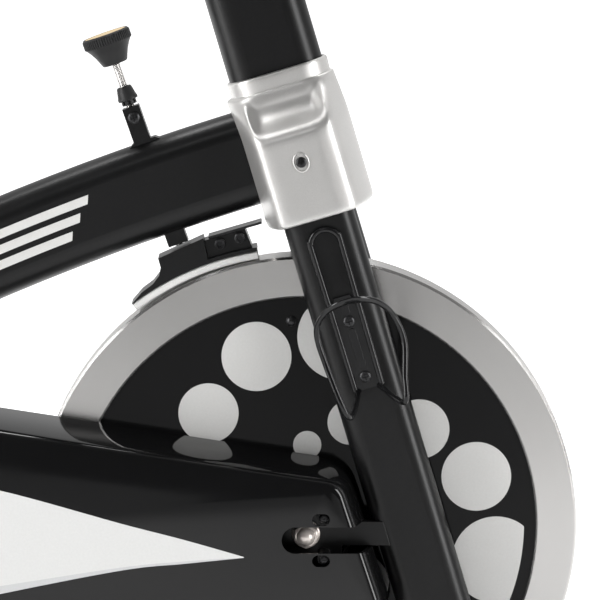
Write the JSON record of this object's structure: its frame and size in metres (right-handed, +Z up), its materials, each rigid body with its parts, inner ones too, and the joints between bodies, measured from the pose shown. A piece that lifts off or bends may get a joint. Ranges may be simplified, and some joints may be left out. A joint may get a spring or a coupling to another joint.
{
  "type": "exercise bike",
  "caption": "Indoor cycling exercise bike with front flywheel, felt pad brake, covered belt drive, sliding saddle and handlebar posts, and levelling feet.",
  "frame": {"origin": "on the floor, at the middle of the bike's length and width", "axes": "+X points forward, towards the flywheel end; +Y to the rider's left; +Z up"},
  "size_m": [1.252, 0.56, 1.0565],
  "materials": {
    "frame_paint": "satin-gloss black powder coat on steel",
    "black_plastic": "moulded black plastic",
    "silver_shroud": "satin silver moulding",
    "gloss_cover": "gloss black moulded cover",
    "screw_black": "blackened steel",
    "gloss_wire": "gloss black coated steel",
    "axle_steel": "plated steel",
    "rim_steel": "turned and polished rim",
    "gloss_disc": "gloss black trim disc",
    "belt_rubber": "ribbed drive belt",
    "foot_rubber": "levelling foot",
    "felt": "pressed wool felt",
    "saddle_cover": "padded synthetic leather",
    "grip_foam": "dense foam grip"
  },
  "bodies": {
    "frame": {"main_tube_front": "frame_paint", "main_tube_rear": "frame_paint", "head_tube": "frame_paint", "fork_leg_right": "frame_paint", "fork_leg_left": "frame_paint", "dropouts": "frame_paint", "seat_tube": "frame_paint", "bottom_bracket": "frame_paint", "front_stabilizer": "frame_paint", "rear_stabilizer": "frame_paint", "stabilizer_caps": "black_plastic", "post_sleeves": "black_plastic", "head_shroud_right": "silver_shroud", "head_shroud_left": "silver_shroud", "belt_cover_outer": "gloss_cover", "belt_cover_inner": "gloss_cover", "trim_screws": "screw_black", "bottle_cage": "gloss_wire", "flywheel_axle": "axle_steel", "axle_hardware": "axle_steel", "bracket_bearings": "axle_steel", "drive_belt": "belt_rubber", "brake_mounts": "frame_paint"},
    "flywheel": {"flywheel": "rim_steel", "wheel_discs": "gloss_disc", "disc_screws": "screw_black", "hub_bearings": "axle_steel", "flywheel_pulley": "frame_paint"},
    "crank": {"crank_axle": "axle_steel", "drive_pulley": "frame_paint", "crank_right": "frame_paint", "crank_left": "frame_paint", "pedal_spindles": "axle_steel"},
    "pedal_right": {"pedal_right": "black_plastic", "toe_cage_right": "gloss_wire"},
    "pedal_left": {"pedal_left": "black_plastic", "toe_cage_left": "gloss_wire"},
    "brake_slider": {"brake_collar": "black_plastic"},
    "brake_knob": {"brake_rod": "axle_steel", "brake_knob": "black_plastic"},
    "brake_arm": {"brake_carrier": "frame_paint", "brake_pad": "felt", "leaf_spring": "axle_steel"},
    "seat_post": {"seat_post": "frame_paint"},
    "seat_slider": {"seat_slider": "frame_paint"},
    "slider_knob": {"slider_knob": "black_plastic"},
    "seat_pin": {"seat_pin": "black_plastic"},
    "saddle": {"saddle_clamp": "frame_paint", "saddle_base": "black_plastic", "saddle": "saddle_cover"},
    "handlebar": {"handlebar_post": "frame_paint", "handlebar_bar": "frame_paint", "handlebar_grips": "grip_foam"},
    "head_pin": {"head_pin": "black_plastic"},
    "transport_wheel_right": {"transport_wheel_right": "black_plastic"},
    "transport_wheel_left": {"transport_wheel_left": "black_plastic"},
    "foot_front_right": {"foot_front_right": "foot_rubber"},
    "foot_front_left": {"foot_front_left": "foot_rubber"},
    "foot_rear_right": {"foot_rear_right": "foot_rubber"},
    "foot_rear_left": {"foot_rear_left": "foot_rubber"}
  },
  "joints": [
    {"name": "flywheel_spin", "type": "hinge", "parent": "frame", "child": "flywheel", "pos_m": [0.36798, 0, 0.3], "axis": [0, 1, 0], "continuous": true},
    {"name": "crank_spin", "type": "hinge", "parent": "frame", "child": "crank", "pos_m": [-0.09202, 0, 0.305], "axis": [0, 1, 0], "continuous": true},
    {"name": "pedal_right_spin", "type": "hinge", "parent": "crank", "child": "pedal_right", "pos_m": [-0.09202, -0.16, 0.135], "axis": [0, 1, 0], "continuous": true},
    {"name": "pedal_left_spin", "type": "hinge", "parent": "crank", "child": "pedal_left", "pos_m": [-0.09202, 0.16, 0.475], "axis": [0, 1, 0], "continuous": true},
    {"name": "brake_press", "type": "slide", "parent": "frame", "child": "brake_slider", "axis": [0.3272, 0, -0.9449], "range_m": [0, 0.0012], "stiffness_N_per_m": 8000, "springref_m": -0.0015},
    {"name": "brake_knob_turn", "type": "hinge", "parent": "brake_slider", "child": "brake_knob", "pos_m": [0.24547, 0, 0.58323], "axis": [-0.3272, 0, 0.9449], "range_deg": [-360, 360]},
    {"name": "brake_arm_swing", "type": "hinge", "parent": "frame", "child": "brake_arm", "pos_m": [0.33598, 0, 0.556], "axis": [0, -1, 0], "range_deg": [0, 0.93]},
    {"name": "seat_post_slide", "type": "slide", "parent": "frame", "child": "seat_post", "axis": [-0.3007, 0, 0.9537], "range_m": [-0.03, 0.18]},
    {"name": "seat_slider_slide", "type": "slide", "parent": "seat_post", "child": "seat_slider", "axis": [1, 0, 0], "range_m": [-0.045, 0.045]},
    {"name": "slider_knob_turn", "type": "hinge", "parent": "seat_post", "child": "slider_knob", "pos_m": [-0.23202, 0, 0.773], "axis": [0, 1, 0], "range_deg": [0, 360]},
    {"name": "saddle_tilt", "type": "hinge", "parent": "seat_slider", "child": "saddle", "pos_m": [-0.33202, 0, 0.846], "axis": [0, 1, 0], "range_deg": [-10, 10]},
    {"name": "seat_pin_pull", "type": "slide", "parent": "frame", "child": "seat_pin", "axis": [0.9537, 0, 0.3007], "range_m": [0, 0.01], "stiffness_N_per_m": 800, "springref_m": -0.004},
    {"name": "handlebar_slide", "type": "slide", "parent": "frame", "child": "handlebar", "axis": [-0.2857, 0, 0.9583], "range_m": [-0.03, 0.15]},
    {"name": "head_pin_pull", "type": "slide", "parent": "frame", "child": "head_pin", "axis": [0.9583, 0, 0.2857], "range_m": [0, 0.01], "stiffness_N_per_m": 800, "springref_m": -0.004},
    {"name": "transport_wheel_right_spin", "type": "hinge", "parent": "frame", "child": "transport_wheel_right", "pos_m": [0.59802, -0.17, 0.034], "axis": [0, 1, 0], "continuous": true},
    {"name": "transport_wheel_left_spin", "type": "hinge", "parent": "frame", "child": "transport_wheel_left", "pos_m": [0.59802, 0.17, 0.034], "axis": [0, 1, 0], "continuous": true},
    {"name": "foot_front_right_level", "type": "slide", "parent": "frame", "child": "foot_front_right", "axis": [0, 0, -1], "range_m": [0, 0.012]},
    {"name": "foot_front_left_level", "type": "slide", "parent": "frame", "child": "foot_front_left", "axis": [0, 0, -1], "range_m": [0, 0.012]},
    {"name": "foot_rear_right_level", "type": "slide", "parent": "frame", "child": "foot_rear_right", "axis": [0, 0, -1], "range_m": [0, 0.012]},
    {"name": "foot_rear_left_level", "type": "slide", "parent": "frame", "child": "foot_rear_left", "axis": [0, 0, -1], "range_m": [0, 0.012]}
  ],
  "couplings": [
    {"joint": "crank_spin", "follows": "flywheel_spin", "ratio": 0.33654},
    {"joint": "brake_arm_swing", "follows": "brake_press", "rad_per_m": 13.5}
  ]
}
